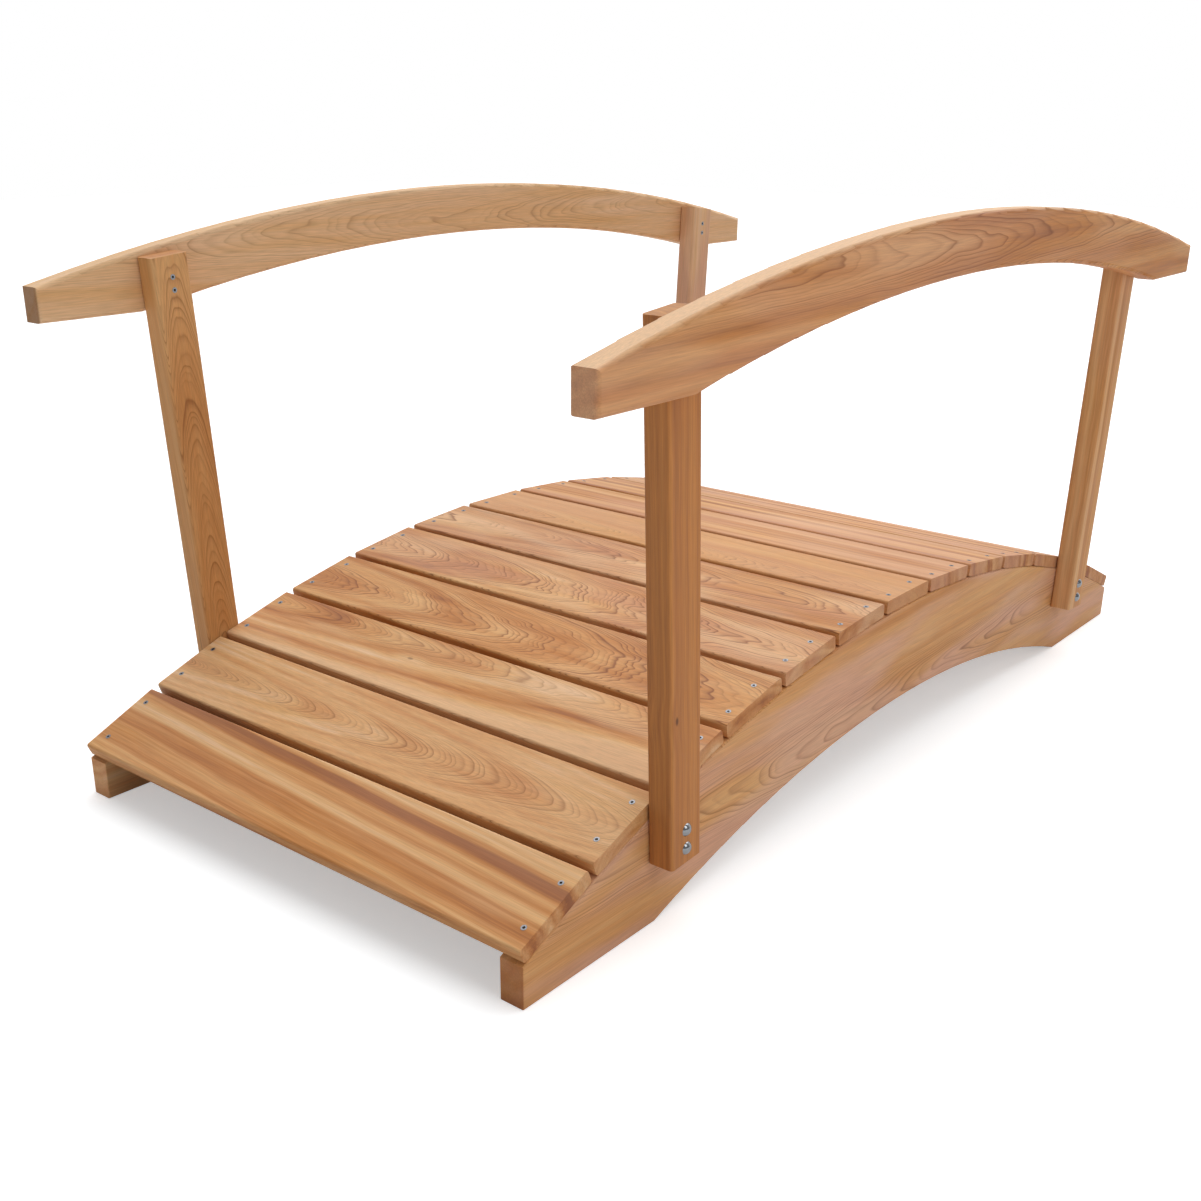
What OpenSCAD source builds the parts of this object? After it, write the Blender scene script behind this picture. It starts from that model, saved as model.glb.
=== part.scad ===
// Arched garden footbridge in planed cedar, with a handrail on each side.
// Two sawn stringers carry a deck of boards laid along their curve. Two leaning posts are bolted to the
// outer face of each stringer, and an arched handrail is screwed to the outer face of each pair of posts.
// X runs along the span, from the near end to the far end, Y runs across it from right to left, and Z is
// up from the ground under the feet. All sizes are in millimetres.

/* [Stringers] */
// Length of each stringer along the span
stringer_l = 1829; // [1500:1:2400]
// Thickness of the stringer plank
stringer_t = 38; // [30:0.5:60]
// Height of the stringer's curved top edge at mid-span
stringer_crown = 264; // [230:1:320]
// Height of the stringer's upright end cut
stringer_end = 59; // [45:1:90]
// Height of the arch sawn out of the stringer's underside
stringer_arch = 106; // [60:1:125]
// Length of the flat foot at each end of the stringer
stringer_foot = 258; // [150:1:330]
// Rounding of the stringer's edges
stringer_ease = 2; // [1:0.5:6]
// Distance between the outer faces of the two stringers
bridge_w = 889; // [600:1:1400]

/* [Deck] */
// Width of a deck board
board_w = 136; // [90:0.5:190]
// Thickness of a deck board
board_t = 22; // [18:0.5:38]
// Smallest gap that the boards may have between them
board_gap = 8; // [5:0.5:20]
// How far the end boards stay back from the stringer's end cut, along the curve
board_setback = 4.5; // [0:0.5:20]
// Room between the end of a board and the inner face of a post
board_clear = 1.5; // [0.5:0.5:6]
// Room under a flat board where it rides on the curved edge
board_seat = 0.2; // [0.1:0.05:0.5]
// Rounding of the board's long edges
board_ease = 4; // [1:0.5:9]

/* [Posts] */
// Width of a post along the span
post_w = 63; // [45:1:100]
// Thickness of a post across the span
post_t = 38; // [30:0.5:60]
// Distance from a post's axis, at the curved edge, back to the stringer's end cut
post_inset = 267.5; // [150:0.5:400]
// Lean of a post towards its end of the bridge, in degrees
post_lean = 3.2; // [0:0.1:6]
// How far a post laps the stringer below the curved edge
post_lap = 68; // [55:1:90]
// Depth of a post's top below the curved edge of the handrail
post_drop = 10; // [4:1:25]
// Slope of a post's top, down towards its end of the bridge, in degrees
post_slope = 5.5; // [0:0.5:12]
// Rounding of the post's long edges
post_ease = 5; // [1:0.5:10]

/* [Handrails] */
// Distance from each end of the handrail back to the stringer's end cut
rail_setback = 35; // [0:1:80]
// Thickness of the handrail plank
rail_t = 38; // [30:0.5:60]
// Height of the handrail's straight lower edge above the deck at mid-span
rail_rise = 418.5; // [350:0.5:700]
// Height of the handrail's upright end cut
rail_end = 50; // [40:1:80]
// Height of the handrail's curved top edge at mid-span, above its lower edge
rail_crown = 153.5; // [140:0.5:200]
// Height of the arch sawn out of the handrail's underside
rail_arch = 73; // [50:1:90]
// Length of the straight lower edge at each end of the handrail
rail_foot = 170; // [120:1:240]
// Rounding of the handrail's edges
rail_ease = 6; // [1:0.5:10]

/* [Hidden] */
// Facets of a small round and of a plank's long curve
$fn = 48;
curve_fn = 720;
// How far a cutting shape passes the piece that it cuts
overcut = 5;

// Radius of the arc over a chord, from half the chord and the rise at its middle
function arc_radius(half_chord, rise) = (half_chord ^ 2 + rise ^ 2) / (2 * rise);
// Height of that arc at a distance from the middle, measured from its crown and so zero or less
function arc_drop(radius, x) = sqrt(radius ^ 2 - x ^ 2) - radius;

// The stringer's curved top edge, which the whole deck follows
curve_r = arc_radius(stringer_l / 2, stringer_crown - stringer_end);
curve_angle = asin(stringer_l / 2 / curve_r);
curve_l = 2 * curve_r * curve_angle * PI / 180;

// As many boards as the curve takes, spread evenly from end to end
deck_l = curve_l - 2 * board_setback;
board_count = floor((deck_l + board_gap) / (board_w + board_gap));
board_pitch = (deck_l - board_w) / (board_count - 1);
board_step = board_pitch / curve_r * 180 / PI;
board_l = bridge_w - 2 * board_clear;
function board_name(i) = str("deck_board_", i < 10 ? "0" : "", i);
function board_angle(i) = (i - (board_count + 1) / 2) * board_step;

// Handrail, placed against the outer faces of the posts
rail_l = stringer_l - 2 * rail_setback;
rail_z = stringer_crown + board_t + rail_rise;
rail_r = arc_radius(rail_l / 2, rail_crown - rail_end);

// Post axis at the stringer's curved edge
post_x = stringer_l / 2 - post_inset;
post_z = stringer_crown + arc_drop(curve_r, post_x);
post_y = bridge_w / 2 + post_t / 2;
// Middle of a post's sloping top, under the handrail's curve
post_top_x = post_x + (rail_z + rail_end - post_z) * tan(post_lean);
post_top_z = rail_z + rail_crown + arc_drop(rail_r, post_top_x) - post_drop;

stringer_y = bridge_w / 2 - stringer_t / 2;
rail_y = bridge_w / 2 + post_t + rail_t / 2;

cedar_tan = "#cf9f6d";
cedar_brown = "#b9804f";
cedar_gold = "#d6a263";
cedar_pink = "#d2a583";

// Rectangle about the origin with round corners
module rounded_rect(w, h, r) {
    square([w - 2 * r, h], center = true);
    square([w, h - 2 * r], center = true);
    for (sx = [-1, 1], sy = [-1, 1])
        translate([sx * (w / 2 - r), sy * (h / 2 - r)])
            circle(r);
}

// Straight bar along X, up from Y = 0, with every edge but those at its top rounded
module eased_bar(length, height, thick, ease) {
    tall = height + 2 * ease;
    intersection() {
        translate([0, tall / 2, 0])
            rotate([90, 0, 90])
                linear_extrude(length, center = true)
                    rounded_rect(tall, thick, ease);
        rotate([-90, 0, 0])
            linear_extrude(tall)
                rounded_rect(length, thick, ease);
    }
}

// Flat disc with a rounded rim, which shapes a plank's curved top edge
module rounded_disc(r, thick, ease) {
    rotate_extrude($fn = curve_fn) {
        translate([0, -thick / 2])
            square([r - ease, thick]);
        translate([0, ease - thick / 2])
            square([r, thick - 2 * ease]);
        for (side = [-1, 1])
            translate([r - ease, side * (thick / 2 - ease)])
                circle(ease);
    }
}

// Disc with a flared rim, which saws out an arch and rounds its edges
module flared_disc(r, thick, ease) {
    rotate_extrude($fn = curve_fn) {
        translate([0, -thick / 2 - overcut])
            square([r, thick + 2 * overcut]);
        for (side = [0, 1])
            mirror([0, side])
                difference() {
                    translate([r - ease, thick / 2 - ease])
                        square([2 * ease, ease + overcut]);
                    translate([r + ease, thick / 2 - ease])
                        circle(ease);
                }
    }
}

// Plank on edge along X, lower edge at Z = 0: curved top, a flat foot at each end, an arch between the feet
module arched_plank(length, thick, end, crown, arch, foot, ease) {
    top_r = arc_radius(length / 2, crown - end);
    arch_r = arc_radius(length / 2 - foot, arch);
    rotate([90, 0, 0])
        difference() {
            intersection() {
                eased_bar(length, crown, thick, ease);
                translate([0, crown - top_r, 0])
                    rounded_disc(top_r, thick, ease);
            }
            translate([0, arch - arch_r, 0])
                flared_disc(arch_r, thick, ease);
        }
}

// Side is 1 on the left and -1 on the right
module stringer(side) {
    color(cedar_tan)
        translate([0, side * stringer_y, 0])
            arched_plank(stringer_l, stringer_t, stringer_end, stringer_crown, stringer_arch, stringer_foot,
                stringer_ease);
}

// Board across the deck, flat on the curve; the first is at the near end
module deck_board(i) {
    color(i % 2 == 0 ? cedar_pink : cedar_brown)
        translate([0, 0, stringer_crown - curve_r])
            rotate([0, board_angle(i), 0])
                translate([0, 0, curve_r + board_seat + board_t / 2])
                    rotate([90, 0, 0])
                        linear_extrude(board_l, center = true)
                            rounded_rect(board_w, board_t, board_ease);
}

// End is 1 at the far end and -1 at the near one
module post(end, side) {
    reach = rail_z + rail_crown - post_z;
    color(cedar_brown)
        mirror([end < 0 ? 1 : 0, 0, 0])
            translate([0, side * post_y, 0])
                difference() {
                    translate([post_x, 0, post_z])
                        rotate([0, post_lean, 0])
                            translate([0, 0, -post_lap])
                                linear_extrude(post_lap + reach)
                                    rounded_rect(post_w, post_t, post_ease);
                    translate([post_top_x, 0, post_top_z])
                        rotate([0, post_slope, 0])
                            translate([-post_w, -post_t, 0])
                                cube([2 * post_w, 2 * post_t, reach]);
                }
}

module handrail(side) {
    color(cedar_gold)
        translate([0, side * rail_y, rail_z])
            arched_plank(rail_l, rail_t, rail_end, rail_crown, rail_arch, rail_foot, rail_ease);
}

stringer(-1);  // right_stringer
stringer(1);  // left_stringer
for (i = [1:board_count])
    deck_board(i);
post(-1, -1);  // near_right_post
post(-1, 1);  // near_left_post
post(1, -1);  // far_right_post
post(1, 1);  // far_left_post
handrail(-1);  // right_handrail
handrail(1);  // left_handrail
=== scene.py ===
# %% [markdown]
# # An arched cedar footbridge
# The bridge is planed red cedar: sawn stringers, a plank deck, leaning posts and arched handrails. The
# solids come from the CAD model and stay exactly where they are. This lesson dresses them: it sets the
# camera and the light, saws every piece out of its own procedural log, and adds the bolts and screws.

# %% Load the solids
import math
import random
from types import SimpleNamespace

import bmesh
import bpy
from mathutils import Euler, Matrix, Vector


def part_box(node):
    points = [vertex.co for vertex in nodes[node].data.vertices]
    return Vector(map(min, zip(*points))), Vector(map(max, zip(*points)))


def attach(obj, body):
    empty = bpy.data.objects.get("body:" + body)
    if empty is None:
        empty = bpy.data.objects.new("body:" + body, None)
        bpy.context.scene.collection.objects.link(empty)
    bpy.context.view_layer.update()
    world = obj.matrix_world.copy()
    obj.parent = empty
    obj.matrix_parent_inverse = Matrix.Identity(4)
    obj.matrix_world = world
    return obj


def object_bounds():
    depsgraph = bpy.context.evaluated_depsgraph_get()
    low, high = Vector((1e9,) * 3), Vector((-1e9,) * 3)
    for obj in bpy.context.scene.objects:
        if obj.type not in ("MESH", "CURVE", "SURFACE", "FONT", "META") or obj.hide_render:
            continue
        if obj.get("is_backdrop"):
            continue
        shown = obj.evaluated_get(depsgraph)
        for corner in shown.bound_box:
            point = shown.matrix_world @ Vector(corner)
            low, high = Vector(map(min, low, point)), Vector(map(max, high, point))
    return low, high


# Blender works in metres, and small sizes are written here in millimetres
MM = 0.001

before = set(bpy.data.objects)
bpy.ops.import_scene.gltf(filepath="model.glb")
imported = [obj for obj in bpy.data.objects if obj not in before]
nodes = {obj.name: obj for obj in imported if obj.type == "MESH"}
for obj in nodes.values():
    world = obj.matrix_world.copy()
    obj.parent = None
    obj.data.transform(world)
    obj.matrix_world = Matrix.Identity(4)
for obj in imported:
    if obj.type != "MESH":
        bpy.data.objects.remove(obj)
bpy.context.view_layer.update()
boards = sorted(name for name in nodes if name.startswith("deck_board"))
posts = sorted(name for name in nodes if name.endswith("post"))
planks = sorted(name for name in nodes if name.endswith(("stringer", "handrail")))

# %% [markdown]
# The photograph was taken from the near right corner, a little above the handrails. A camera is easiest
# to place by where it stands, the point that it aims at and how far it is rolled. The lens follows from
# the angle of view, so it holds for any picture size.

# %% Camera
CAMERA_AT = Vector((-1.9493, -1.3776, 0.9905))
CAMERA_AIM = Vector((-0.0548, 0.1942, 0.0092))
CAMERA_ROLL = math.radians(0.155)
VIEW_ANGLE = math.radians(46.17)
# the picture was cut off-centre, by these shares of its width
CROP_RIGHT = 0.0225
CROP_UP = 0.056

camera_data = bpy.data.cameras.new("photo_camera")
camera_data.angle = VIEW_ANGLE
camera_data.shift_x = CROP_RIGHT
camera_data.shift_y = CROP_UP
camera = bpy.data.objects.new("photo_camera", camera_data)
bpy.context.scene.collection.objects.link(camera)
bpy.context.scene.camera = camera
camera.location = CAMERA_AT
aim = (CAMERA_AIM - CAMERA_AT).to_track_quat("-Z", "Y").to_matrix()
camera.rotation_euler = (aim @ Matrix.Rotation(CAMERA_ROLL, 3, "Z")).to_euler()
print(f"camera {(CAMERA_AIM - CAMERA_AT).length:.2f} m from its aim, lens {camera_data.lens:.1f} mm")

# %% [markdown]
# Colours are easiest to judge as the hex values that a paint program shows. Blender's sockets take linear
# light, so one function converts them. Another adds a shader node, sets it up and links it, which keeps
# each material readable as a list of steps.

# %% Colour and node helpers
def linear(hex_code):
    """An sRGB hex colour as linear red, green, blue and alpha."""
    channels = [int(hex_code[i:i + 2], 16) / 255 for i in (1, 3, 5)]
    return [c / 12.92 if c <= 0.04045 else ((c + 0.055) / 1.055) ** 2.4 for c in channels] + [1.0]


def add(tree, kind, inputs=None, stops=None, **settings):
    """Add a shader node, give it its settings and colour stops, and set or link its inputs."""
    node = tree.nodes.new("ShaderNode" + kind)
    for name, value in settings.items():
        setattr(node, name, value)
    for key, value in (inputs or {}).items():
        if isinstance(value, bpy.types.NodeSocket):
            tree.links.new(value, node.inputs[key])
        else:
            node.inputs[key].default_value = value
    for i, (place, colour) in enumerate(stops or []):
        elements = node.color_ramp.elements
        stop = elements[i] if i < 2 else elements.new(place)
        stop.position = place
        stop.color = colour
    return node


def new_material(name):
    """An empty material and its node tree."""
    material = bpy.data.materials.new(name)
    material.use_nodes = True
    material.node_tree.nodes.clear()
    return material, material.node_tree


WHITE = linear("#ffffff")
print("white as linear light:", WHITE)

# %% [markdown]
# The bridge stands in a white studio. A floor lit to exactly white is hard to get without burning the
# pale wood, so the floor is a plain diffuse sheet, and only the camera sees a little glow added to it.
# The glow lifts the lit floor to white and leaves the bridge's own soft shadow. The sheet is a cool
# white, because the wood throws warm light on it.

# %% Floor
FLOOR_HALF = 14.0
FLOOR_GLOW = 0.42

floor_material, tree = new_material("studio_floor")
sheet = add(tree, "BsdfDiffuse", {"Color": linear("#eff2f4")})
glow = add(tree, "Emission", {"Color": WHITE, "Strength": FLOOR_GLOW})
lifted = add(tree, "AddShader", {0: sheet.outputs[0], 1: glow.outputs[0]})
seen = add(tree, "LightPath")
choice = add(tree, "MixShader", {0: seen.outputs["Is Camera Ray"], 1: sheet.outputs[0],
                                 2: lifted.outputs[0]})
add(tree, "OutputMaterial", {"Surface": choice.outputs[0]})

mesh = bpy.data.meshes.new("floor")
bm = bmesh.new()
bmesh.ops.create_grid(bm, x_segments=1, y_segments=1, size=FLOOR_HALF)
bm.to_mesh(mesh)
bm.free()
floor = bpy.data.objects.new("floor", mesh)
bpy.context.scene.collection.objects.link(floor)
mesh.materials.append(floor_material)
floor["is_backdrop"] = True
print(f"floor {2 * FLOOR_HALF:.0f} m square")

# %% [markdown]
# Round the floor there is only light. The camera sees plain white there, and the wood gets a weak, even
# fill. Polished steel shows its surroundings more than its own colour, so glossy reflections get more to
# show: a white backdrop behind the bridge, which darkens towards the camera's side of the room.

# %% World
FILL_STRENGTH = 0.29
# the way from the camera to the backdrop
BACKDROP = (0.77, 0.63, 0.0)
# cosines of the angle to that way at which a reflection begins to brighten and is white
BACKDROP_EDGE = -0.1
BACKDROP_FULL = 0.4

world = bpy.data.worlds.new("studio")
bpy.context.scene.world = world
world.use_nodes = True
tree = world.node_tree
tree.nodes.clear()
seen = add(tree, "LightPath")
towards = add(tree, "TexCoord")
behind = add(tree, "VectorMath", {0: towards.outputs["Generated"], 1: BACKDROP}, operation="DOT_PRODUCT")
bright = add(tree, "MapRange", {"Value": behind.outputs["Value"], "From Min": BACKDROP_EDGE,
                                "From Max": BACKDROP_FULL, "To Min": FILL_STRENGTH, "To Max": 1.0})
fill = add(tree, "Background", {"Color": WHITE, "Strength": FILL_STRENGTH})
room = add(tree, "Background", {"Color": WHITE, "Strength": bright.outputs[0]})
white = add(tree, "Background", {"Color": WHITE, "Strength": 1.0})
lit = add(tree, "MixShader", {0: seen.outputs["Is Glossy Ray"], 1: fill.outputs[0], 2: room.outputs[0]})
choice = add(tree, "MixShader", {0: seen.outputs["Is Camera Ray"], 1: lit.outputs[0], 2: white.outputs[0]})
add(tree, "OutputWorld", {"Surface": choice.outputs[0]})
bpy.context.scene.view_settings.view_transform = "Standard"
print(f"fill light {FILL_STRENGTH}")

# %% [markdown]
# The light is one broad panel overhead, a little behind the bridge. A sun lamp with a wide angle acts as
# a panel that is very large and far away: the shadows stay soft, and the floor is lit evenly out to its
# edge. The tops become the brightest faces, and the shadow falls towards the camera. A weak softbox at
# the camera's right lifts the side of the bridge that faces it, and gives the bolts something bright to
# reflect.

# %% Light panels
PANEL_FROM = Vector((0.5, 0.1, 1.0))
PANEL_ANGLE = math.radians(75)
# watts per square metre
PANEL_STRENGTH = 2.45
SOFTBOX_AT = Vector((-0.8, -2.4, 1.6))
SOFTBOX_AIM = Vector((-0.2, -0.3, 0.3))
SOFTBOX_SIZE = 1.2
# watts
SOFTBOX_POWER = 10.0


def hang(name, kind, at, aim):
    """A lamp of a kind that hangs at a place and shines at another."""
    data = bpy.data.lights.new(name, kind)
    lamp = bpy.data.objects.new(name, data)
    bpy.context.scene.collection.objects.link(lamp)
    lamp.location = at
    lamp.rotation_euler = (at - aim).to_track_quat("Z", "Y").to_euler()
    lamp.visible_camera = False
    return data


panel = hang("overhead_panel", "SUN", PANEL_FROM, Vector())
panel.angle = PANEL_ANGLE
panel.energy = PANEL_STRENGTH
softbox = hang("softbox", "AREA", SOFTBOX_AT, SOFTBOX_AIM)
softbox.size = SOFTBOX_SIZE
softbox.energy = SOFTBOX_POWER
print(f"panel {math.degrees(PANEL_ANGLE):.0f} degrees wide, softbox {SOFTBOX_SIZE} m wide")

# %% [markdown]
# Each piece of wood was sawn out of a log, and its figure follows from where. A face that is nearly
# tangent to the rings shows long arches, a face across them shows straight stripes, and an end shows the
# rings themselves. So the pattern is not painted on a face: it is a solid texture of a log, and a Mapping
# node lays that log along the piece. The directions come from the solid's own faces, because the boards
# follow the arch and the posts lean.

# %% Where a piece's faces look
# cosines of the angle between two faces that look roughly, or exactly, the same way
ROUGHLY = 0.8
EXACTLY = 0.9999


def facing(name, direction):
    """Middle and normal of the flat face of a solid that looks most nearly in a direction."""
    polygons = nodes[name].data.polygons
    likely = [polygon for polygon in polygons if polygon.normal.dot(Vector(direction)) > ROUGHLY]
    normal = max(likely, key=lambda polygon: polygon.area).normal.copy()
    flat = [polygon for polygon in polygons if polygon.normal.dot(normal) > EXACTLY]
    centre = sum((polygon.center * polygon.area for polygon in flat), Vector())
    return centre / sum(polygon.area for polygon in flat), normal


def length_and_face(name):
    """The direction of a piece's length, and of the face that shows its figure."""
    if name in boards:
        return Vector((0, 1, 0)), facing(name, (0, 0, 1))[1]
    if name in posts:
        return Vector((0, 1, 0)).cross(facing(name, (-1, 0, 0))[1]), Vector((0, -1, 0))
    return Vector((1, 0, 0)), Vector((0, -1, 0))


def face_middle(name, face):
    """Middle of a solid's box, moved out to the face that shows its figure."""
    low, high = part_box(name)
    centre = (low + high) / 2
    return centre + face * max((vertex.co - centre).dot(face) for vertex in nodes[name].data.vertices)


for name in (boards[0], posts[0], planks[0]):
    along, face = length_and_face(name)
    print(f"{name}: length {tuple(round(c, 3) for c in along)}, face {tuple(round(c, 3) for c in face)}")

# %% [markdown]
# Planed red cedar has pale cream sapwood and heartwood from straw through tan to reddish brown, often in
# the same board, with thin dark lines where each year's growth ended. All of that depends on how a piece
# was cut from its log, so a cut is a short list of settings. These are the usual ones, and each piece
# changes some.

# %% The usual cut
USUAL_CUT = dict(
    # how far the pith is from the middle of the face, across it and below it, in mm
    pith=(0, 60),
    # how far the pith leans out of the face and is turned within it, in degrees
    tilt=0.0,
    skew=0.0,
    # width of a year, sway of the trunk and ripple of its rings, in mm
    ring=1.2,
    sway=3.0,
    ripple=0.3,
    # strength of the year lines and of the streaks, and width of a stripe of years that look alike, in mm
    lines=0.5,
    streaks=0.5,
    stripe=16,
    # colour from cream at 0 to brown at 1, and the strength of its rosy and creamy patches
    tone=0.5,
    rose=0.2,
    cream=0.2,
    # how far from the pith the sapwood begins, here out of reach, and how wide its fading edge is, in mm
    sap=(1000, 12),
    # strength of the painted sheen that lightens a handrail's upper face towards cream
    crest=0.0,
    # tint of the cut ends
    ends=(0.84, 0.75, 0.69, 1.0),
    # a knot: its place along and across the face and its radius, in mm, and its darkness
    knot=None,
)
print(f"a cut has {len(USUAL_CUT)} settings")

# %% [markdown]
# First comes the log itself. Its first axis is the pith, so the distance from that axis tells the year in
# which the wood grew. Trees are not straight and their rings are not smooth, so noise makes the trunk
# sway and the rings ripple. Another seed moves the noise on, so that no two pieces match.

# %% The log
# length, width and depth of the sway and the ripple
SWAY = Vector((300, 90, 90)) * MM
RIPPLE = Vector((90, 15, 50)) * MM
NOISE_MIDDLE = (0.5, 0.5, 0.5)
# noise stays within about a quarter of its middle, so this brings it to the size that a cut asks for
NOISE_REACH = 4
# how far the noise moves from one seed to the next
SEED_STEP = (3.7, 1.9, 5.3)


def variation(log, vector, size, detail, output="Fac", roughness=0.5):
    """How the wood varies over a length, width and depth in the log."""
    shift = [log.seed * step for step in SEED_STEP]
    at = add(log.tree, "Mapping", {"Vector": vector, "Location": shift, "Scale": [1 / c for c in size]})
    noise = add(log.tree, "TexNoise", {"Vector": at.outputs[0], "Scale": 1.0, "Detail": detail,
                                       "Roughness": roughness})
    return noise.outputs[output]


def lay_log(tree, name, cut, seed):
    """A log that lies along a piece: its directions, its coordinates and the distance from its pith."""
    along, face = length_and_face(name)
    log = SimpleNamespace(tree=tree, cut=cut, seed=seed, along=along, across=face.cross(along))
    log.square = Matrix((along, log.across, face)).transposed()
    lean = Euler((0, math.radians(cut.tilt), math.radians(cut.skew))).to_matrix()
    log.turned = (log.square @ lean).to_euler()
    log.surface = face_middle(name, face)
    heart = log.surface + log.across * cut.pith[0] * MM - face * cut.pith[1] * MM
    log.normal = add(tree, "NewGeometry").outputs["Normal"]
    log.place = add(tree, "TexCoord").outputs["Object"]
    log.straight = add(tree, "Mapping", {"Vector": log.place, "Location": heart, "Rotation": log.turned},
                       vector_type="TEXTURE").outputs[0]
    swing = add(tree, "VectorMath", {0: variation(log, log.straight, SWAY, 2.0, "Color"), 1: NOISE_MIDDLE},
                operation="SUBTRACT")
    reach = NOISE_REACH * cut.sway * MM
    log.bent = add(tree, "VectorMath", {0: swing.outputs[0], 1: (0, reach, reach), 2: log.straight},
                   operation="MULTIPLY_ADD").outputs[0]
    log.radial = add(tree, "VectorMath", {0: log.bent, 1: (0, 1, 1)}, operation="MULTIPLY").outputs[0]
    log.distance = add(tree, "VectorMath", {0: log.radial}, operation="LENGTH").outputs["Value"]
    log.radius = add(tree, "Math", {0: variation(log, log.straight, RIPPLE, 1.0),
                                    1: NOISE_REACH * cut.ripple * MM, 2: log.distance},
                     operation="MULTIPLY_ADD").outputs[0]
    return log


print(f"a log sways over {SWAY.x / MM:.0f} mm and ripples over {RIPPLE.x / MM:.0f} mm")

# %% [markdown]
# A knot is where a branch grew. Seen on the face it is a dark oval, and the rings swell round it. It
# changes the distance from the pith, so it comes before the year lines.

# %% Knots
KNOT = linear("#553220")
# a knot is this much longer than wide
KNOT_STRETCH = 2
# distances in knot radii: how far its darkest part goes, and where the swelling begins to fall and ends
KNOT_HEART = 0.3
SWELL_FROM = 0.5
SWELL_TO = 7.0
# years by which the rings swell
SWELL_YEARS = 3


def grow_knot(log):
    """Swell the log's rings round a knot, and return how much of the knot shows."""
    along, across, radius, darkness = log.cut.knot
    centre = log.surface + log.along * along * MM + log.across * across * MM
    about = add(log.tree, "Mapping", {"Vector": log.place, "Location": centre,
                                      "Rotation": log.square.to_euler(),
                                      "Scale": (radius * KNOT_STRETCH * MM, radius * MM, 1)},
                vector_type="TEXTURE")
    apart = add(log.tree, "VectorMath", {0: about.outputs[0]}, operation="LENGTH").outputs["Value"]
    spot = add(log.tree, "MapRange", {"Value": apart, "From Min": KNOT_HEART, "From Max": 1.0,
                                      "To Min": darkness, "To Max": 0.0}, interpolation_type="SMOOTHSTEP")
    swell = add(log.tree, "MapRange", {"Value": apart, "From Min": SWELL_FROM, "From Max": SWELL_TO,
                                       "To Min": SWELL_YEARS * log.cut.ring * MM, "To Max": 0.0},
                interpolation_type="SMOOTHERSTEP")
    log.radius = add(log.tree, "Math", {0: log.radius, 1: swell.outputs[0]}).outputs[0]
    return spot.outputs[0]


print(f"knots swell the rings out to {SWELL_TO:.0f} times their radius")

# %% [markdown]
# Wood grows pale in spring and ends each year with a thin dark line, and some years are stronger than
# others. Year lines that cross the face steeply stand closer than the picture can show, so they fade out
# there. That leaves the arches down the middle of a face and plain soft stripes beside them, as on real
# boards.

# %% Year lines
YEAR_LINE = (0.46, 0.33, 0.25, 1.0)
# lines closer than the first spacing are left out, and those wider apart than the second are drawn in full
LINES_CLOSE = 1.5 * MM
LINES_CLEAR = 3.4 * MM
# how dark the wood is through a year
SEASONS = ((0.0, 0.3), (0.08, 0.0), (0.45, 0.05), (0.75, 0.4), (0.92, 1.0), (1.0, 0.3))
# years come faster and slower by this many, over a few years
YEAR_PACE = 2.0
PACE_PER_YEAR = 0.3
# the faintest year, as a share of the strongest
FAINT_YEAR = 0.2
# how many years one seed is on from the last
YEARS_PER_SEED = 13.7


def line_clearness(log):
    """How far the year lines stand clear of each other on the face, from 0 to 1."""
    looking = add(log.tree, "Mapping", {"Vector": log.normal, "Rotation": log.turned}, vector_type="TEXTURE")
    outward = add(log.tree, "VectorMath", {0: log.radial}, operation="NORMALIZE")
    tangent = add(log.tree, "VectorMath", {0: looking.outputs[0], 1: outward.outputs[0]},
                  operation="CROSS_PRODUCT")
    steep = add(log.tree, "VectorMath", {0: tangent.outputs[0]}, operation="LENGTH")
    spacing = add(log.tree, "Math", {0: log.cut.ring * MM, 1: steep.outputs["Value"]}, operation="DIVIDE")
    clear = add(log.tree, "MapRange", {"Value": spacing.outputs[0], "From Min": LINES_CLOSE,
                                       "From Max": LINES_CLEAR}, interpolation_type="SMOOTHSTEP")
    return clear.outputs[0]


def year_lines(log):
    """How dark the year lines are at each point."""
    tree = log.tree
    years = add(tree, "Math", {0: log.radius, 1: 1 / (log.cut.ring * MM), 2: log.seed * YEARS_PER_SEED},
                operation="MULTIPLY_ADD")
    pace = add(tree, "TexNoise", {"W": years.outputs[0], "Scale": PACE_PER_YEAR, "Detail": 1.0},
               noise_dimensions="1D")
    uneven = add(tree, "Math", {0: pace.outputs["Fac"], 1: YEAR_PACE, 2: years.outputs[0]},
                 operation="MULTIPLY_ADD")
    season = add(tree, "Math", {0: uneven.outputs[0]}, operation="FRACT")
    year = add(tree, "Math", {0: uneven.outputs[0]}, operation="FLOOR")
    line = add(tree, "ValToRGB", {"Fac": season.outputs[0]},
               [(time, (dark, dark, dark, 1)) for time, dark in SEASONS])
    strength = add(tree, "TexWhiteNoise", {"W": year.outputs[0]}, noise_dimensions="1D")
    strong = add(tree, "MapRange", {"Value": strength.outputs["Value"], "To Min": FAINT_YEAR * log.cut.lines,
                                    "To Max": log.cut.lines})
    weight = add(tree, "Math", {0: strong.outputs[0], 1: line_clearness(log)}, operation="MULTIPLY")
    return add(tree, "Math", {0: line.outputs[0], 1: weight.outputs[0]}, operation="MULTIPLY").outputs[0]


print(f"year lines fade out below {LINES_CLEAR / MM:.1f} mm and are gone at {LINES_CLOSE / MM:.1f} mm")

# %% [markdown]
# The heartwood's colour changes slowly, in streaks along the trunk and in stripes of years that grew
# alike. Both together pick a colour on a scale from cream to brown. Over that lie rosy and creamy
# patches, about as long as a forearm, which give fresh cedar its mixed look.

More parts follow.
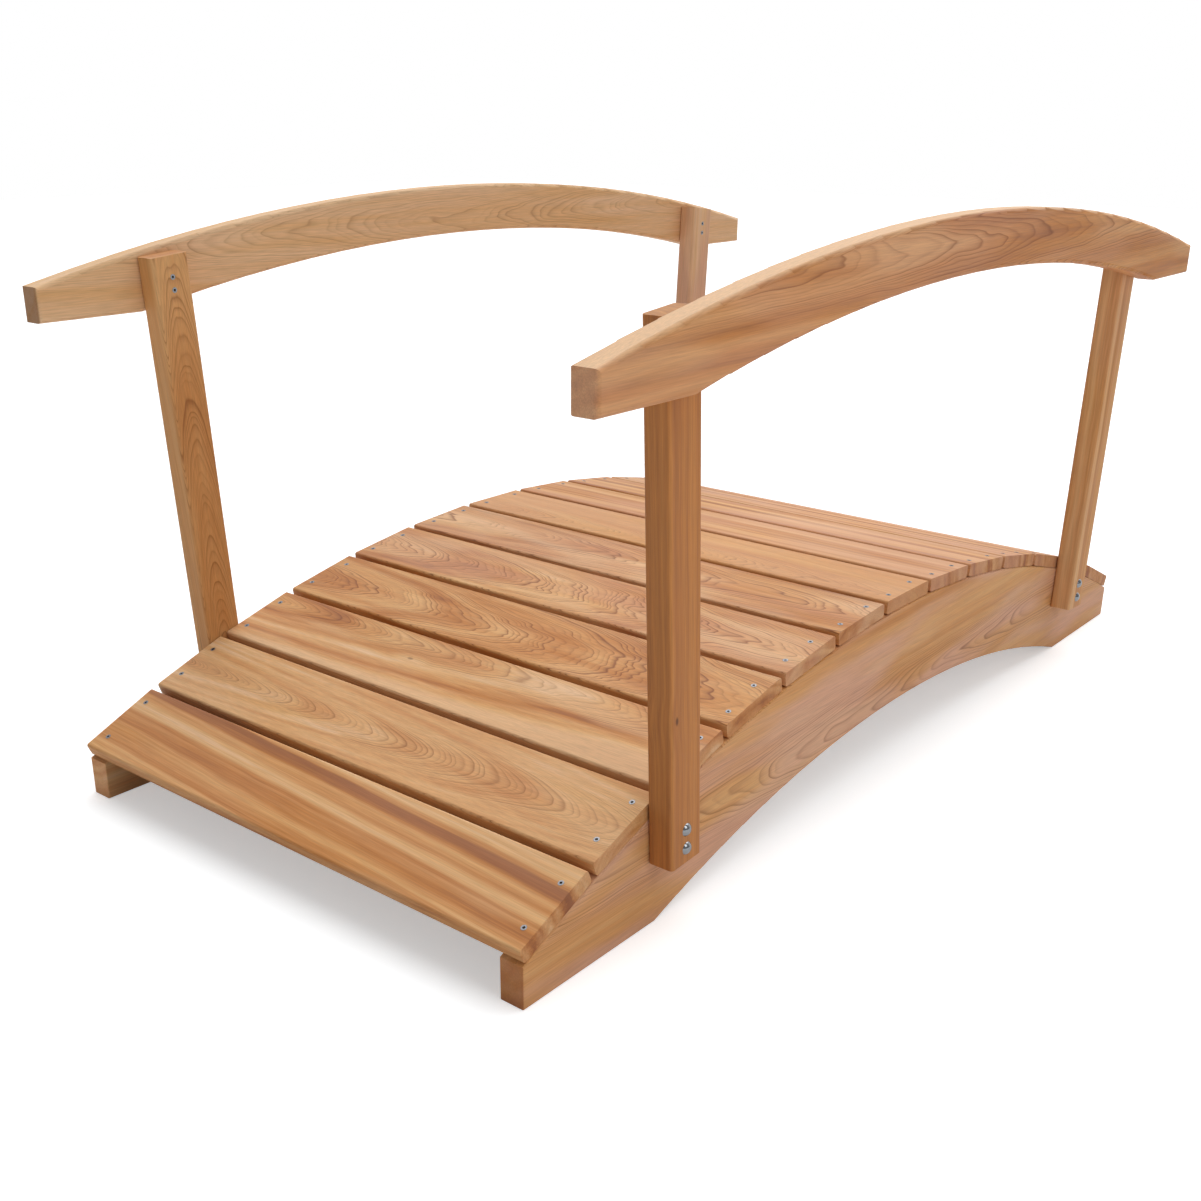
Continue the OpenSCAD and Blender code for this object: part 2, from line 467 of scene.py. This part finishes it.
# %% Colours of the heartwood
CREAM = linear("#e6bf95")
STRAW = linear("#ddac74")
TAN = linear("#d0965c")
AMBER = linear("#bd7b3f")
BROWN = linear("#98592f")
ROSE = linear("#d3a084")
# length, width and depth of a streak and of a patch
STREAK = Vector((1600, 24, 24)) * MM
PATCH = Vector((420, 70, 70)) * MM
# streaks and stripes are two noises, and their sum runs over about this range
STREAKS_LOW = 0.55
STREAKS_HIGH = 1.45
# noise levels at which a patch begins and is full
ROSY = (0.36, 0.6)
CREAMY = (0.5, 0.66)
# how many stripes one seed is on from the last
STRIPES_PER_SEED = 7.3


def streaks(log):
    """Streaks and stripes from cream to brown."""
    tree = log.tree
    tone = log.cut.tone
    spread = log.cut.streaks
    shift = log.seed * STRIPES_PER_SEED
    stripe_at = add(tree, "Math", {0: log.radius, 1: 1 / (log.cut.stripe * MM), 2: shift},
                    operation="MULTIPLY_ADD")
    stripe = add(tree, "TexNoise", {"W": stripe_at.outputs[0], "Scale": 1.0, "Detail": 2.0},
                 noise_dimensions="1D")
    both = add(tree, "Math", {0: variation(log, log.bent, STREAK, 4.0, roughness=0.65),
                              1: stripe.outputs["Fac"]})
    depth = add(tree, "MapRange", {"Value": both.outputs[0],
                                   "From Min": STREAKS_LOW, "From Max": STREAKS_HIGH,
                                   "To Min": tone - spread, "To Max": tone + spread})
    scale = [(0.0, CREAM), (0.25, STRAW), (0.5, TAN), (0.75, AMBER), (1.0, BROWN)]
    return add(tree, "ValToRGB", {"Fac": depth.outputs[0]}, scale).outputs[0]


def patches(log, colour):
    """Rosy and creamy patches over a colour."""
    level = add(log.tree, "SeparateColor", {"Color": variation(log, log.bent, PATCH, 2.0, "Color")})
    kinds = ((0, ROSY, log.cut.rose, ROSE), (1, CREAMY, log.cut.cream, CREAM))
    for channel, (start, full), strength, tint in kinds:
        share = add(log.tree, "MapRange", {"Value": level.outputs[channel], "From Min": start,
                                           "From Max": full, "To Max": strength},
                    interpolation_type="SMOOTHSTEP")
        colour = add(log.tree, "Mix", {0: share.outputs[0], 6: colour, 7: tint}, data_type="RGBA").outputs[2]
    return colour


print(f"streaks {STREAK.x / MM:.0f} mm long, patches {PATCH.x / MM:.0f} mm long")

# %% [markdown]
# The youngest wood, under the bark, is cream sapwood, so it begins at a distance from the pith. Each
# handrail's upper face also gets a painted sheen: its colour is drawn towards cream, as the light
# from above makes it look. The sheen follows the arch and not the log, so it is found by where the
# surface looks up, within the width of the rail.

# %% Sapwood and the painted sheen on upper faces
SAP_STRENGTH = 0.6
# the painted sheen on an upper face fades out over the rounding at its sides
SHEEN_FADE = 7 * MM
# upward part of the normal at which the painted sheen begins and at which it is full
SHEEN_BEGINS = 0.1
SHEEN_FULL = 0.3


def sapwood(log, colour):
    """Cream sapwood over a colour, far enough from the pith."""
    start, width = log.cut.sap
    outer = add(log.tree, "MapRange", {"Value": log.distance, "From Min": start * MM,
                                       "From Max": (start + width) * MM, "To Max": SAP_STRENGTH},
                interpolation_type="SMOOTHSTEP")
    return add(log.tree, "Mix", {0: outer.outputs[0], 6: colour, 7: CREAM}, data_type="RGBA").outputs[2]


def paint_top_sheen(log, name, colour):
    """A painted sheen over a colour, drawn towards cream where the upper face looks up."""
    tree = log.tree
    low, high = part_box(name)
    half = (high.y - low.y) / 2
    from_middle = add(tree, "VectorMath", {0: log.place, 1: (low + high) / 2}, operation="SUBTRACT")
    sides = add(tree, "SeparateXYZ", {0: from_middle.outputs[0]})
    aside = add(tree, "Math", {0: sides.outputs["Y"]}, operation="ABSOLUTE")
    inner = add(tree, "MapRange", {"Value": aside.outputs[0],
                                   "From Min": half - SHEEN_FADE, "From Max": half,
                                   "To Min": log.cut.crest, "To Max": 0.0}, interpolation_type="SMOOTHSTEP")
    looks = add(tree, "SeparateXYZ", {0: log.normal})
    upward = add(tree, "MapRange", {"Value": looks.outputs["Z"], "From Min": SHEEN_BEGINS,
                                    "From Max": SHEEN_FULL})
    upper = add(tree, "Math", {0: inner.outputs[0], 1: upward.outputs[0]}, operation="MULTIPLY")
    # painted sheen: where the surface looks up, the colour is drawn towards cream as if lit from above
    return add(tree, "Mix", {0: upper.outputs[0], 6: colour, 7: CREAM}, data_type="RGBA").outputs[2]


print(f"pale edges fade out over {SHEEN_FADE / MM:.0f} mm")

# %% [markdown]
# Last comes the surface. Planed, sanded and left bare, cedar is nearly matt, its fine fibres show as
# short light and dark dashes along the grain, and its year lines stand very slightly proud. Most cut ends
# look darker than the faces, but how dark differs from piece to piece, so a cut has its own tint for
# them.

# %% Planed surface
# real cedar fibres are finer than a pixel here, so they are drawn coarse enough to show
FIBRE = Vector((60, 1.8, 1.8)) * MM
# noise levels of the darkest and lightest fibres, and what they do to the colour
FIBRE_LEVELS = (0.3, 0.7)
FIBRE_SHADES = (0.88, 1.09)
ROUGHNESS = (0.45, 0.68)
# cosines of the angle to the grain at which a surface begins to show end grain and shows nothing else
END_BEGINS = 0.6
END_FULL = 0.95
# height of the fibres, and of a year line as a share of that
RELIEF = 0.25 * MM
LINE_RELIEF = 0.5
RELIEF_STRENGTH = 0.35


def planed_surface(log, colour, lines):
    """The shader of a planed piece, from its colour and its year lines."""
    tree = log.tree
    fibre = variation(log, log.straight, FIBRE, 2.0, roughness=0.6)
    shade = add(tree, "MapRange", {"Value": fibre, "From Min": FIBRE_LEVELS[0], "From Max": FIBRE_LEVELS[1],
                                   "To Min": FIBRE_SHADES[0], "To Max": FIBRE_SHADES[1]})
    fibred = add(tree, "VectorMath", {0: colour, "Scale": shade.outputs[0]}, operation="SCALE")
    end_on = add(tree, "VectorMath", {0: log.normal, 1: log.along}, operation="DOT_PRODUCT")
    either = add(tree, "Math", {0: end_on.outputs["Value"]}, operation="ABSOLUTE")
    end_cut = add(tree, "MapRange", {"Value": either.outputs[0], "From Min": END_BEGINS,
                                     "From Max": END_FULL}, interpolation_type="SMOOTHSTEP")
    ended = add(tree, "Mix", {0: end_cut.outputs[0], 6: fibred.outputs[0], 7: log.cut.ends},
                data_type="RGBA", blend_type="MULTIPLY")
    matt = add(tree, "MapRange", {"Value": fibre, "To Min": ROUGHNESS[0], "To Max": ROUGHNESS[1]})
    relief = add(tree, "Math", {0: lines, 1: LINE_RELIEF, 2: fibre}, operation="MULTIPLY_ADD")
    bump = add(tree, "Bump", {"Strength": RELIEF_STRENGTH, "Distance": RELIEF, "Height": relief.outputs[0]})
    return add(tree, "BsdfPrincipled", {"Base Color": ended.outputs[2], "Roughness": matt.outputs[0],
                                        "Normal": bump.outputs[0], "IOR": 1.5, "Specular IOR Level": 0.3})


def planed_cedar(name, seed, changes):
    """Saw a piece out of its own log, with some changes to the usual cut."""
    material, tree = new_material("planed_cedar_" + name)
    log = lay_log(tree, name, SimpleNamespace(**{**USUAL_CUT, **changes}), seed)
    knot = grow_knot(log) if log.cut.knot else None
    lines = year_lines(log)
    colour = sapwood(log, patches(log, streaks(log)))
    # the handrails' upper faces get a painted sheen
    if log.cut.crest:
        colour = paint_top_sheen(log, name, colour)
    colour = add(tree, "Mix", {0: lines, 6: colour, 7: YEAR_LINE}, data_type="RGBA",
                 blend_type="MULTIPLY").outputs[2]
    if log.cut.knot:
        colour = add(tree, "Mix", {0: knot, 6: colour, 7: KNOT}, data_type="RGBA").outputs[2]
    wood = planed_surface(log, colour, lines)
    add(tree, "OutputMaterial", {"Surface": wood.outputs[0]})
    nodes[name].data.materials.clear()
    nodes[name].data.materials.append(material)


print(f"fibres {FIBRE.x / MM:.0f} mm long and {FIBRE.y / MM:.1f} mm wide")

# %% [markdown]
# No two pieces on a real bridge match, so each gets its own cut of the log: where the pith lies from its
# face, how it leans, how wide the years are and which tones it has. The near boards are flat-sawn with
# arches that point to the right handrail, and the first board and the far ones are striped.

# %% Cut every piece
CUTS = {
    "deck_board_01": dict(pith=(180, 30), skew=-3.0, lines=0.1, streaks=0.8, stripe=36, tone=0.64, rose=0.1,
                          sap=(200, 150)),
    "deck_board_02": dict(pith=(4, 52), tilt=-4.6, sway=2.0, ripple=0.15, lines=0.8, streaks=0.45, tone=0.32,
                          rose=0.15),
    "deck_board_03": dict(pith=(-42, 60), tilt=-3.6, ring=1.3, ripple=0.6, lines=0.85, tone=0.46, rose=0.1,
                          cream=0.4, sap=(98, 12), knot=(88, -9, 4, 0.5)),
    "deck_board_04": dict(pith=(10, 120), tilt=-4.8, ring=1.5, sway=5.0, ripple=0.8, lines=1.2, streaks=0.4,
                          tone=0.56, rose=0.0, cream=0.15, sap=(165, 12)),
    "deck_board_05": dict(pith=(8, 110), tilt=-4.6, ring=1.3, sway=6.0, ripple=0.7, lines=1.2, rose=0.35,
                          cream=0.4),
    "deck_board_06": dict(pith=(-4, 90), tilt=-3.4, ring=2.0, sway=6.0, ripple=0.9, lines=1.2, streaks=0.45,
                          tone=0.6, rose=0.35, cream=0.5),
    "deck_board_07": dict(pith=(42, 80), tilt=-3.6, ripple=0.8, lines=0.6, streaks=0.2, cream=0.1),
    "near_right_post": dict(pith=(60, 40), streaks=0.15, stripe=6, tone=0.8, rose=0.0, cream=0.0,
                            ends=(1.0, 1.1, 1.08, 1.0), knot=(-139, 20, 4, 0.8)),
    "near_left_post": dict(pith=(0, 50), tilt=3.6, ring=1.3, lines=0.8, streaks=0.2, tone=0.48, rose=0.0,
                           cream=0.0),
    "far_right_post": dict(pith=(50, 40), lines=0.4, streaks=0.6, tone=0.55),
    "far_left_post": dict(pith=(40, 40), lines=0.3, streaks=0.3, tone=0.08, rose=0.8, cream=0.4),
    "right_stringer": dict(pith=(-10, 90), tilt=-1.0, ripple=0.2, lines=0.9, streaks=0.3, stripe=30,
                           rose=0.85, ends=(0.74, 0.56, 0.44, 1.0)),
    "left_stringer": dict(pith=(10, 70), tilt=1.0, lines=0.6, streaks=0.3, tone=0.36,
                          ends=(1.0, 0.9, 0.86, 1.0)),
    "right_handrail": dict(pith=(40, 90), tilt=1.2, ring=1.3, sway=2.0, ripple=0.4, lines=0.95, streaks=0.3,
                           stripe=20, tone=0.72, rose=0.25, crest=0.8, ends=(1.0, 1.0, 1.1, 1.0)),
    "left_handrail": dict(pith=(20, 80), tilt=-1.8, sway=2.5, ripple=0.4, lines=0.55, streaks=0.25,
                          stripe=24, tone=0.12, rose=0.1, cream=0.1, crest=0.3, ends=(0.5, 0.42, 0.38, 1.0)),
}
STRIPED = dict(pith=(130, 50), tilt=0.5, lines=0.2, stripe=22, tone=0.58, rose=0.45)
for index, name in enumerate(boards + posts + planks):
    planed_cedar(name, index + 1, CUTS.get(name, STRIPED))
print(f"{len(nodes)} pieces cut from their own logs")

# %% [markdown]
# The bridge is held by zinc-plated steel: bright, faintly bluish and a little cloudy, since the plating
# is tumbled and not polished. A noise in the roughness gives the cloudiness. The deck screws have a dull
# grey coating instead. Inside the driver's recess every screw gets a near-black steel, which is painted
# shade: the recess is drawn shallow, and the dark colour stands in for the shade deep inside it.

# %% Zinc-plated steel
CLOUD = 2.5 * MM
# noise levels of the smoothest and dullest places
CLOUD_LEVELS = (0.3, 0.7)


def steel(name, colour, smoothest, dullest):
    """Steel of a colour with a cloudy sheen between two roughnesses."""
    material, tree = new_material(name)
    place = add(tree, "TexCoord")
    cloud_at = add(tree, "Mapping", {"Vector": place.outputs["Object"], "Scale": [1 / CLOUD] * 3})
    cloud = add(tree, "TexNoise", {"Vector": cloud_at.outputs[0], "Scale": 1.0, "Detail": 3.0})
    dull = add(tree, "MapRange", {"Value": cloud.outputs["Fac"], "From Min": CLOUD_LEVELS[0],
                                  "From Max": CLOUD_LEVELS[1], "To Min": smoothest, "To Max": dullest})
    metal = add(tree, "BsdfPrincipled", {"Base Color": linear(colour), "Metallic": 1.0,
                                         "Roughness": dull.outputs[0]})
    add(tree, "OutputMaterial", {"Surface": metal.outputs[0]})
    return material


zinc_steel = steel("zinc_plated_steel", "#96989b", 0.08, 0.2)
coated_steel = steel("coated_steel", "#828386", 0.3, 0.5)
# painted shade: a near-black steel that stands in for the shade deep inside a screw's recess
recess_shade_steel = steel("recess_shade_steel", "#2c2622", 0.5, 0.7)
print(f"steel clouded over {CLOUD / MM} mm")

# %% [markdown]
# Screws and bolts are bought by the bag and all alike, so each shape is modelled once, standing on the
# origin. A matrix for each place then carries a copy of it there, and all copies of a kind are one piece.
# Most of these shapes are round. They grow from a closed line of edges, which is extruded again and
# again, each time to a new radius and height. What stays open at the back is closed at the end.

# %% Helpers for the fittings
# faces that meet at more than this angle keep a crisp edge
CRISP_ANGLE = math.radians(35)


def stand(at, normal, turn=0.0):
    """A frame on a face: its Z looks out of the face, and it is turned about that."""
    out = normal.to_track_quat("Z", "Y").to_matrix().to_4x4()
    return Matrix.Translation(at) @ out @ Matrix.Rotation(turn, 4, "Z")


def grow(bm, edges, radius, height):
    """Extrude a closed line of edges to a ring of a radius at a height, and return the new edges."""
    made = bmesh.ops.extrude_edge_only(bm, edges=edges)["geom"]
    verts = {item for item in made if isinstance(item, bmesh.types.BMVert)}
    for vertex in verts:
        vertex.co.xy = vertex.co.xy.normalized() * radius
        vertex.co.z = height
    return [edge for edge in bm.edges if verts.issuperset(edge.verts)]


def fit_copies(name, shape, frames, *metals):
    """One piece with a closed copy of a shape in each frame, made of its metals."""
    bmesh.ops.holes_fill(shape, edges=shape.edges)
    bmesh.ops.recalc_face_normals(shape, faces=shape.faces)
    one = bpy.data.meshes.new(name + "_one")
    shape.to_mesh(one)
    shape.free()
    bm = bmesh.new()
    for matrix in frames:
        start = len(bm.verts)
        bm.from_mesh(one)
        bm.verts.ensure_lookup_table()
        bmesh.ops.transform(bm, matrix=matrix, verts=bm.verts[start:])
    for face in bm.faces:
        face.smooth = True
    mesh = bpy.data.meshes.new(name)
    bm.to_mesh(mesh)
    bm.free()
    bpy.data.meshes.remove(one)
    mesh.set_sharp_from_angle(angle=CRISP_ANGLE)
    for metal in metals:
        mesh.materials.append(metal)
    piece = bpy.data.objects.new(name, mesh)
    bpy.context.scene.collection.objects.link(piece)
    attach(piece, "root")
    print(f"{name}: {len(frames)} copies, {len(mesh.polygons)} faces")


print(f"edges over {math.degrees(CRISP_ANGLE):.0f} degrees stay crisp")

# %% [markdown]
# A countersunk screw has a flat head, driven almost level with the wood, with a cross recess for the
# driver. Its top is a small grid: the cells of the cross are pushed down and drawn together, and the
# grid's outline grows out to the round rim. The rim then runs down a cone into the wood.

# %% A screw head
# radii of the head and of the neck under its cone, and the depth of that cone
HEAD = 4.1 * MM
NECK = 0.55 * HEAD
CONE = 2.2 * MM
# how far the head stands above the wood
PROUD = 0.4 * MM
# half the width of the grid that holds the cross, and its cells along a side
RECESS = 3.0 * MM
CELLS = 6
# the wood under the head is whole, so the recess stays shallow above it, and painted shade stands in for its
# depth
RECESS_DEPTH = 0.35 * MM
RECESS_TAPER = 0.9


def screw_head():
    """A countersunk screw head with a cross recess, in its own mesh."""
    bm = bmesh.new()
    bmesh.ops.create_grid(bm, x_segments=CELLS, y_segments=CELLS, size=RECESS)
    outline = [edge for edge in bm.edges if edge.is_boundary]
    cell = 2 * RECESS / CELLS
    places = {face: [abs(c) for c in face.calc_center_median().xy] for face in bm.faces}
    cross = [face for face, place in places.items() if min(place) < cell and max(place) < RECESS - cell]
    pushed = bmesh.ops.extrude_face_region(bm, geom=cross)["geom"]
    bottom = [item for item in pushed if isinstance(item, bmesh.types.BMVert)]
    bmesh.ops.translate(bm, verts=bottom, vec=(0, 0, -RECESS_DEPTH))
    bmesh.ops.scale(bm, verts=bottom, vec=(RECESS_TAPER, RECESS_TAPER, 1.0))
    # the walls and floor of the recess take the second material, which is the painted shade
    for face in {face for vertex in bottom for face in vertex.link_faces}:
        face.material_index = 1
    bmesh.ops.delete(bm, geom=cross, context="FACES")
    rim = grow(bm, outline, HEAD, 0.0)
    grow(bm, rim, NECK, -CONE)
    bmesh.ops.translate(bm, verts=bm.verts, vec=(0, 0, PROUD))
    return bm


print(f"screw head {2 * HEAD / MM:.1f} mm wide")

# %% [markdown]
# Each board is held at both ends by two deck screws. Nobody drives screws in an exact row, so each is a
# few millimetres off and turned at random. A seed keeps them in the same places each time.

# %% Deck screws
SCREW_IN = 18 * MM
SCREW_APART = 74 * MM
# how far a screw may stray across its board and along it, in mm
STRAY_ACROSS = 5
STRAY_ALONG = 4
STRAY_SEED = 11

random.seed(STRAY_SEED)
screw_frames = []
for name in boards:
    centre, up = facing(name, (0, 0, 1))
    low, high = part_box(name)
    across = up.cross(Vector((0, 1, 0)))
    for y in (low.y + SCREW_IN, high.y - SCREW_IN):
        for side in (-0.5, 0.5):
            aside = side * SCREW_APART + random.uniform(-STRAY_ACROSS, STRAY_ACROSS) * MM
            at = Vector((centre.x, y, centre.z)) + across * aside
            at.y += random.uniform(-STRAY_ALONG, STRAY_ALONG) * MM
            screw_frames.append(stand(at, up, random.uniform(0, math.pi)))
fit_copies("deck_screws", screw_head(), screw_frames, coated_steel, recess_shade_steel)

# %% [markdown]
# Two screws near the top of each post hold the handrail. They are driven from the post's inner face, so
# their heads show on the side of the deck. The posts lean, so the screws are placed on the middle line of
# that face.

# %% Rail screws
# how far the two screws are below the top of a post
RAIL_SCREWS = (34 * MM, 53 * MM)


def on_axis(name, direction, z):
    """The place at a height on the middle line of a post's face, and the face's normal."""
    centre, normal = facing(name, direction)
    along = length_and_face(name)[0]
    return centre + along * ((z - centre.z) / along.z), normal


screw_frames = []
for name in posts:
    inward = (0, 1, 0) if "right" in name else (0, -1, 0)
    for down in RAIL_SCREWS:
        at, normal = on_axis(name, inward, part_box(name)[1].z - down)
        screw_frames.append(stand(at, normal, random.uniform(0, math.pi)))
fit_copies("rail_screws", screw_head(), screw_frames, zinc_steel, recess_shade_steel)

# %% [markdown]
# Two carriage bolts fix the foot of each post. Outside there is only their smooth domed head, which
# nothing can catch on. The dome is a disc that is raised and drawn in step by step, along the arc of a
# ball's cap.

# %% The head of a carriage bolt
DOME = 9.0 * MM
DOME_RISE = 5.0 * MM
DOME_SIDES = 24
DOME_STEPS = 6
# how much of the way to the top the steps go, which leaves a small flat there
DOME_REACH = 0.95


def dome_head():
    """The domed head of a carriage bolt, in its own mesh."""
    ball = (DOME ** 2 + DOME_RISE ** 2) / (2 * DOME_RISE)
    bm = bmesh.new()
    bmesh.ops.create_circle(bm, segments=DOME_SIDES, radius=DOME, cap_ends=True)
    cap = bm.faces[:]
    radius = DOME
    height = 0.0
    for step in range(1, DOME_STEPS + 1):
        angle = math.asin(DOME / ball) * (1 - DOME_REACH * step / DOME_STEPS)
        inset = radius - ball * math.sin(angle)
        rise = DOME_RISE - ball * (1 - math.cos(angle)) - height
        bmesh.ops.inset_region(bm, faces=cap, thickness=inset, use_boundary=True)
        bmesh.ops.translate(bm, verts=cap[0].verts, vec=(0, 0, rise))
        radius -= inset
        height += rise
    return bm


print(f"bolt head {2 * DOME / MM:.0f} mm wide and {DOME_RISE / MM:.0f} mm high")

# %% [markdown]
# Inside the stringer each bolt has a washer and a hexagon nut, and the end of the bolt stands out of the
# nut. The washer and the bolt's end are turned through a few points. The nut is a six-sided disc that is
# pushed up from the washer, with the edges of its top bevelled.

# %% Washer and nut
# radius and height of the points that a shape is turned through, in mm
WASHER = ((10.5, 0.0), (11.0, 0.3), (11.0, 1.4), (10.6, 1.7), (5.0, 1.7))
WASHER_SIDES = 32
BOLT_END = ((4.0, 6.0), (4.0, 11.0), (3.3, 11.8))
BOLT_SIDES = 24
# from the middle of the nut to its corners
NUT = 7.3 * MM
NUT_FOOT = 1.7 * MM
NUT_HEIGHT = 5.2 * MM
NUT_BEVEL = 0.7 * MM


def turn_through(bm, points, sides):
    """Add a round shape that is turned through points."""
    radius, height = points[0]
    bmesh.ops.create_circle(bm, segments=sides, radius=radius * MM,
                            matrix=Matrix.Translation((0, 0, height * MM)))
    ring = [edge for edge in bm.edges if edge.is_wire]
    for radius, height in points[1:]:
        ring = grow(bm, ring, radius * MM, height * MM)


def washer_and_nut():
    """A washer, a nut on it and the end of the bolt, in one mesh."""
    bm = bmesh.new()
    turn_through(bm, WASHER, WASHER_SIDES)
    hexagon = bmesh.ops.create_circle(bm, segments=6, radius=NUT, cap_ends=True,
                                      matrix=Matrix.Translation((0, 0, NUT_FOOT)))
    raised = bmesh.ops.extrude_face_region(bm, geom=hexagon["verts"][0].link_faces[:])
    top = [item for item in raised["geom"] if isinstance(item, bmesh.types.BMVert)]
    bmesh.ops.translate(bm, verts=top, vec=(0, 0, NUT_HEIGHT))
    edges = [edge for edge in bm.edges if all(vertex in top for vertex in edge.verts)]
    bmesh.ops.bevel(bm, geom=edges, offset=NUT_BEVEL, offset_type="OFFSET", segments=2, profile=0.5,
                    affect="EDGES", material=-1)
    turn_through(bm, BOLT_END, BOLT_SIDES)
    return bm


print(f"washer {2 * WASHER[1][0]:.0f} mm wide, nut {NUT_HEIGHT / MM:.1f} mm high")

# %% [markdown]
# A bolt goes straight through post and stringer, so its nut sits opposite its head. Heads are round and
# need no turn, but every nut ends up turned as it was tightened.

# %% Bolts and nuts
# how far the two bolts are above the foot of a post
BOLTS = (22 * MM, 49 * MM)

head_frames = []
nut_frames = []
for name in posts:
    side = -1 if "right" in name else 1
    stringer = "right_stringer" if side < 0 else "left_stringer"
    inside, inward = facing(stringer, (0, -side, 0))
    for up in BOLTS:
        at, outward = on_axis(name, (0, side, 0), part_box(name)[0].z + up)
        head_frames.append(stand(at, outward))
        nut_frames.append(stand(Vector((at.x, inside.y, at.z)), inward, random.uniform(0, math.pi)))
fit_copies("carriage_bolts", dome_head(), head_frames, zinc_steel)
fit_copies("washers_and_nuts", washer_and_nut(), nut_frames, zinc_steel)

# %% [markdown]
# Dressing the bridge must not change its size. So the box round the dressed bridge is measured, and
# written down beside the box round the solids.

# %% Sizes and finish
low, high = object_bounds()
print(f"dressed: {(high - low) / MM} mm over all")
